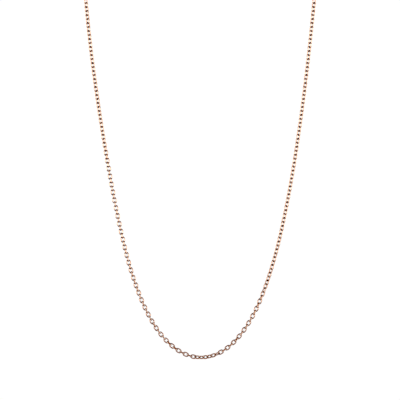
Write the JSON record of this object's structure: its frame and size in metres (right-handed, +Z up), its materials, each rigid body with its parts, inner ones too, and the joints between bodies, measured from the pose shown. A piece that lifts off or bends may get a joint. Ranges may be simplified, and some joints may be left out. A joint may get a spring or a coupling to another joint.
{
  "type": "chain necklace",
  "caption": "Fine rose-gold cable chain of round-wire oval links, with jump rings, a flat end tab and a lobster-claw clasp, laid out unfastened.",
  "frame": {"origin": "on the table under the front centre of the chain, the point where a pendant would hang", "axes": "+Y from the front centre up to the two ends, +Z up out of the surface that the necklace lies on, +X towards the clasp's arm"},
  "size_m": [0.1069, 0.2158, 0.003],
  "materials": {
    "chain_gold": "polished rose gold",
    "fitting_gold": "polished rose gold, cast and wire fittings",
    "spring_steel": "bright spring strip"
  },
  "bodies": {
    "chain_front": {"chain_front": "chain_gold"},
    "chain_right_01": {"chain_right_01": "chain_gold"},
    "chain_right_02": {"chain_right_02": "chain_gold"},
    "chain_right_03": {"chain_right_03": "chain_gold"},
    "chain_right_04": {"chain_right_04": "chain_gold"},
    "chain_right_05": {"chain_right_05": "chain_gold"},
    "chain_right_06": {"chain_right_06": "chain_gold"},
    "chain_right_07": {"chain_right_07": "chain_gold"},
    "chain_right_08": {"chain_right_08": "chain_gold"},
    "chain_right_09": {"chain_right_09": "chain_gold"},
    "chain_right_10": {"chain_right_10": "chain_gold"},
    "chain_right_11": {"chain_right_11": "chain_gold"},
    "chain_right_12": {"chain_right_12": "chain_gold"},
    "chain_right_13": {"chain_right_13": "chain_gold"},
    "chain_right_14": {"chain_right_14": "chain_gold"},
    "chain_right_15": {"chain_right_15": "chain_gold"},
    "chain_right_16": {"chain_right_16": "chain_gold"},
    "chain_right_17": {"chain_right_17": "chain_gold"},
    "chain_right_18": {"chain_right_18": "chain_gold"},
    "chain_right_19": {"chain_right_19": "chain_gold"},
    "chain_right_20": {"chain_right_20": "chain_gold"},
    "chain_right_21": {"chain_right_21": "chain_gold"},
    "chain_right_22": {"chain_right_22": "chain_gold"},
    "chain_left_01": {"chain_left_01": "chain_gold"},
    "chain_left_02": {"chain_left_02": "chain_gold"},
    "chain_left_03": {"chain_left_03": "chain_gold"},
    "chain_left_04": {"chain_left_04": "chain_gold"},
    "chain_left_05": {"chain_left_05": "chain_gold"},
    "chain_left_06": {"chain_left_06": "chain_gold"},
    "chain_left_07": {"chain_left_07": "chain_gold"},
    "chain_left_08": {"chain_left_08": "chain_gold"},
    "chain_left_09": {"chain_left_09": "chain_gold"},
    "chain_left_10": {"chain_left_10": "chain_gold"},
    "chain_left_11": {"chain_left_11": "chain_gold"},
    "chain_left_12": {"chain_left_12": "chain_gold"},
    "chain_left_13": {"chain_left_13": "chain_gold"},
    "chain_left_14": {"chain_left_14": "chain_gold"},
    "chain_left_15": {"chain_left_15": "chain_gold"},
    "chain_left_16": {"chain_left_16": "chain_gold"},
    "chain_left_17": {"chain_left_17": "chain_gold"},
    "chain_left_18": {"chain_left_18": "chain_gold"},
    "chain_left_19": {"chain_left_19": "chain_gold"},
    "chain_left_20": {"chain_left_20": "chain_gold"},
    "chain_left_21": {"chain_left_21": "chain_gold"},
    "chain_left_22": {"chain_left_22": "chain_gold"},
    "clasp_ring": {"clasp_jump_ring": "fitting_gold"},
    "clasp": {"clasp_body": "fitting_gold", "clasp_rivet": "fitting_gold", "clasp_spring": "spring_steel"},
    "lever": {"clasp_lever": "fitting_gold"},
    "end_ring": {"end_jump_ring": "fitting_gold"},
    "tab": {"end_tab": "fitting_gold"}
  },
  "joints": [
    {"name": "clasp_lever_open", "type": "hinge", "parent": "clasp", "child": "lever", "pos_m": [0.04908, 0.20992, 0.0015], "axis": [0, 0, -1], "range_deg": [0, 28], "stiffness_Nm_per_rad": 0.002, "springref_deg": -20.05, "deforming": ["clasp_spring"]},
    {"name": "clasp_swing", "type": "hinge", "parent": "clasp_ring", "child": "clasp", "pos_m": [0.05024, 0.20415, 0.0015], "axis": [0, 0, 1], "range_deg": [-25, 25]},
    {"name": "clasp_ring_swing", "type": "hinge", "parent": "chain_right_22", "child": "clasp_ring", "pos_m": [0.05012, 0.20246, 0.0015], "axis": [0, 0, 1], "range_deg": [-20, 20]},
    {"name": "end_tab_swing", "type": "hinge", "parent": "end_ring", "child": "tab", "pos_m": [-0.05098, 0.20415, 0.0015], "axis": [0, 0, 1], "range_deg": [-25, 25]},
    {"name": "end_ring_swing", "type": "hinge", "parent": "chain_left_22", "child": "end_ring", "pos_m": [-0.05086, 0.20246, 0.0015], "axis": [0, 0, 1], "range_deg": [-20, 20]},
    {"name": "right_lift_04", "type": "hinge", "parent": "chain_right_03", "child": "chain_right_04", "pos_m": [0.02312, 0.02167, 0.00132], "axis": [0.9125, -0.409, 0], "range_deg": [0, 25]},
    {"name": "right_lift_10", "type": "hinge", "parent": "chain_right_09", "child": "chain_right_10", "pos_m": [0.03728, 0.07782, 0.00112], "axis": [0.9869, -0.1616, 0], "range_deg": [0, 25]},
    {"name": "right_lift_16", "type": "hinge", "parent": "chain_right_15", "child": "chain_right_16", "pos_m": [0.04455, 0.1352, 0.00112], "axis": [0.995, -0.0999, 0], "range_deg": [0, 25]},
    {"name": "left_lift_04", "type": "hinge", "parent": "chain_left_03", "child": "chain_left_04", "pos_m": [-0.02339, 0.02219, 0.00109], "axis": [0.915, 0.4034, 0], "range_deg": [0, 25]},
    {"name": "left_lift_10", "type": "hinge", "parent": "chain_left_09", "child": "chain_left_10", "pos_m": [-0.03726, 0.07782, 0.00109], "axis": [0.9869, 0.1616, 0], "range_deg": [0, 25]},
    {"name": "left_lift_16", "type": "hinge", "parent": "chain_left_15", "child": "chain_left_16", "pos_m": [-0.04529, 0.1352, 0.0009], "axis": [0.995, 0.0999, 0], "range_deg": [0, 25]},
    {"name": "right_sway_01", "type": "hinge", "parent": "chain_front", "child": "chain_right_01", "pos_m": [0.00419, 0.00058, 0.00112], "axis": [0, 0, 1], "range_deg": [-20, 20]},
    {"name": "left_sway_01", "type": "hinge", "parent": "chain_front", "child": "chain_left_01", "pos_m": [-0.00533, 0.00095, 0.00108], "axis": [0, 0, 1], "range_deg": [-20, 20]},
    {"name": "right_sway_02", "type": "hinge", "parent": "chain_right_01", "child": "chain_right_02", "pos_m": [0.01248, 0.00547, 0.001], "axis": [0, 0, -1], "range_deg": [-20, 20]},
    {"name": "left_sway_02", "type": "hinge", "parent": "chain_left_01", "child": "chain_left_02", "pos_m": [-0.01329, 0.00621, 0.001], "axis": [0, 0, -1], "range_deg": [-20, 20]},
    {"name": "right_sway_03", "type": "hinge", "parent": "chain_right_02", "child": "chain_right_03", "pos_m": [0.01859, 0.01304, 0.00108], "axis": [0, 0, 1], "range_deg": [-20, 20]},
    {"name": "left_sway_03", "type": "hinge", "parent": "chain_left_02", "child": "chain_left_03", "pos_m": [-0.01909, 0.01375, 0.00133], "axis": [0, 0, 1], "range_deg": [-20, 20]},
    {"name": "right_sway_05", "type": "hinge", "parent": "chain_right_04", "child": "chain_right_05", "pos_m": [0.02664, 0.03077, 0.0008], "axis": [0, 0, 1], "range_deg": [-20, 20]},
    {"name": "left_sway_05", "type": "hinge", "parent": "chain_left_04", "child": "chain_left_05", "pos_m": [-0.02673, 0.03105, 0.00099], "axis": [0, 0, 1], "range_deg": [-20, 20]},
    {"name": "right_sway_06", "type": "hinge", "parent": "chain_right_05", "child": "chain_right_06", "pos_m": [0.02948, 0.04006, 0.00089], "axis": [0, 0, -1], "range_deg": [-20, 20]},
    {"name": "left_sway_06", "type": "hinge", "parent": "chain_left_05", "child": "chain_left_06", "pos_m": [-0.02945, 0.04016, 0.00132], "axis": [0, 0, -1], "range_deg": [-20, 20]},
    {"name": "right_sway_07", "type": "hinge", "parent": "chain_right_06", "child": "chain_right_07", "pos_m": [0.03185, 0.04944, 0.00112], "axis": [0, 0, 1], "range_deg": [-20, 20]},
    {"name": "left_sway_07", "type": "hinge", "parent": "chain_left_06", "child": "chain_left_07", "pos_m": [-0.03174, 0.04944, 0.0011], "axis": [0, 0, 1], "range_deg": [-20, 20]},
    {"name": "right_sway_08", "type": "hinge", "parent": "chain_right_07", "child": "chain_right_08", "pos_m": [0.03388, 0.05885, 0.00078], "axis": [0, 0, -1], "range_deg": [-20, 20]},
    {"name": "left_sway_08", "type": "hinge", "parent": "chain_left_07", "child": "chain_left_08", "pos_m": [-0.03375, 0.05885, 0.00098], "axis": [0, 0, -1], "range_deg": [-20, 20]},
    {"name": "right_sway_09", "type": "hinge", "parent": "chain_right_08", "child": "chain_right_09", "pos_m": [0.03567, 0.06832, 0.0009], "axis": [0, 0, 1], "range_deg": [-20, 20]},
    {"name": "left_sway_09", "type": "hinge", "parent": "chain_left_08", "child": "chain_left_09", "pos_m": [-0.03557, 0.06832, 0.00132], "axis": [0, 0, 1], "range_deg": [-20, 20]},
    {"name": "right_sway_11", "type": "hinge", "parent": "chain_right_10", "child": "chain_right_11", "pos_m": [0.03875, 0.08735, 0.00078], "axis": [0, 0, 1], "range_deg": [-20, 20]},
    {"name": "left_sway_11", "type": "hinge", "parent": "chain_left_10", "child": "chain_left_11", "pos_m": [-0.03887, 0.08735, 0.00085], "axis": [0, 0, 1], "range_deg": [-20, 20]},
    {"name": "right_sway_12", "type": "hinge", "parent": "chain_right_11", "child": "chain_right_12", "pos_m": [0.0401, 0.09689, 0.0009], "axis": [0, 0, -1], "range_deg": [-20, 20]},
    {"name": "left_sway_12", "type": "hinge", "parent": "chain_left_11", "child": "chain_left_12", "pos_m": [-0.04038, 0.09689, 0.00112], "axis": [0, 0, -1], "range_deg": [-20, 20]},
    {"name": "right_sway_13", "type": "hinge", "parent": "chain_right_12", "child": "chain_right_13", "pos_m": [0.04134, 0.10645, 0.00112], "axis": [0, 0, 1], "range_deg": [-20, 20]},
    {"name": "left_sway_13", "type": "hinge", "parent": "chain_left_12", "child": "chain_left_13", "pos_m": [-0.0418, 0.10645, 0.0009], "axis": [0, 0, 1], "range_deg": [-20, 20]},
    {"name": "right_sway_14", "type": "hinge", "parent": "chain_right_13", "child": "chain_right_14", "pos_m": [0.04249, 0.11603, 0.00078], "axis": [0, 0, -1], "range_deg": [-20, 20]},
    {"name": "left_sway_14", "type": "hinge", "parent": "chain_left_13", "child": "chain_left_14", "pos_m": [-0.0431, 0.11603, 0.00078], "axis": [0, 0, -1], "range_deg": [-20, 20]},
    {"name": "right_sway_15", "type": "hinge", "parent": "chain_right_14", "child": "chain_right_15", "pos_m": [0.04355, 0.12561, 0.0009], "axis": [0, 0, 1], "range_deg": [-20, 20]},
    {"name": "left_sway_15", "type": "hinge", "parent": "chain_left_14", "child": "chain_left_15", "pos_m": [-0.04427, 0.12561, 0.00112], "axis": [0, 0, 1], "range_deg": [-20, 20]},
    {"name": "right_sway_17", "type": "hinge", "parent": "chain_right_16", "child": "chain_right_17", "pos_m": [0.04548, 0.1448, 0.00078], "axis": [0, 0, 1], "range_deg": [-20, 20]},
    {"name": "left_sway_17", "type": "hinge", "parent": "chain_left_16", "child": "chain_left_17", "pos_m": [-0.04622, 0.1448, 0.00078], "axis": [0, 0, 1], "range_deg": [-20, 20]},
    {"name": "right_sway_18", "type": "hinge", "parent": "chain_right_17", "child": "chain_right_18", "pos_m": [0.04636, 0.1544, 0.0009], "axis": [0, 0, -1], "range_deg": [-20, 20]},
    {"name": "left_sway_18", "type": "hinge", "parent": "chain_left_17", "child": "chain_left_18", "pos_m": [-0.0471, 0.1544, 0.00112], "axis": [0, 0, -1], "range_deg": [-20, 20]},
    {"name": "right_sway_19", "type": "hinge", "parent": "chain_right_18", "child": "chain_right_19", "pos_m": [0.04719, 0.16401, 0.00112], "axis": [0, 0, 1], "range_deg": [-20, 20]},
    {"name": "left_sway_19", "type": "hinge", "parent": "chain_left_18", "child": "chain_left_19", "pos_m": [-0.04793, 0.16401, 0.0009], "axis": [0, 0, 1], "range_deg": [-20, 20]},
    {"name": "right_sway_20", "type": "hinge", "parent": "chain_right_19", "child": "chain_right_20", "pos_m": [0.04798, 0.17362, 0.00078], "axis": [0, 0, -1], "range_deg": [-20, 20]},
    {"name": "left_sway_20", "type": "hinge", "parent": "chain_left_19", "child": "chain_left_20", "pos_m": [-0.04872, 0.17362, 0.00078], "axis": [0, 0, -1], "range_deg": [-20, 20]},
    {"name": "right_sway_21", "type": "hinge", "parent": "chain_right_20", "child": "chain_right_21", "pos_m": [0.04873, 0.18323, 0.0009], "axis": [0, 0, 1], "range_deg": [-20, 20]},
    {"name": "left_sway_21", "type": "hinge", "parent": "chain_left_20", "child": "chain_left_21", "pos_m": [-0.04947, 0.18323, 0.00112], "axis": [0, 0, 1], "range_deg": [-20, 20]},
    {"name": "right_sway_22", "type": "hinge", "parent": "chain_right_21", "child": "chain_right_22", "pos_m": [0.04944, 0.19284, 0.00123], "axis": [0, 0, -1], "range_deg": [-20, 20]},
    {"name": "left_sway_22", "type": "hinge", "parent": "chain_left_21", "child": "chain_left_22", "pos_m": [-0.05018, 0.19284, 0.00101], "axis": [0, 0, -1], "range_deg": [-20, 20]}
  ]
}
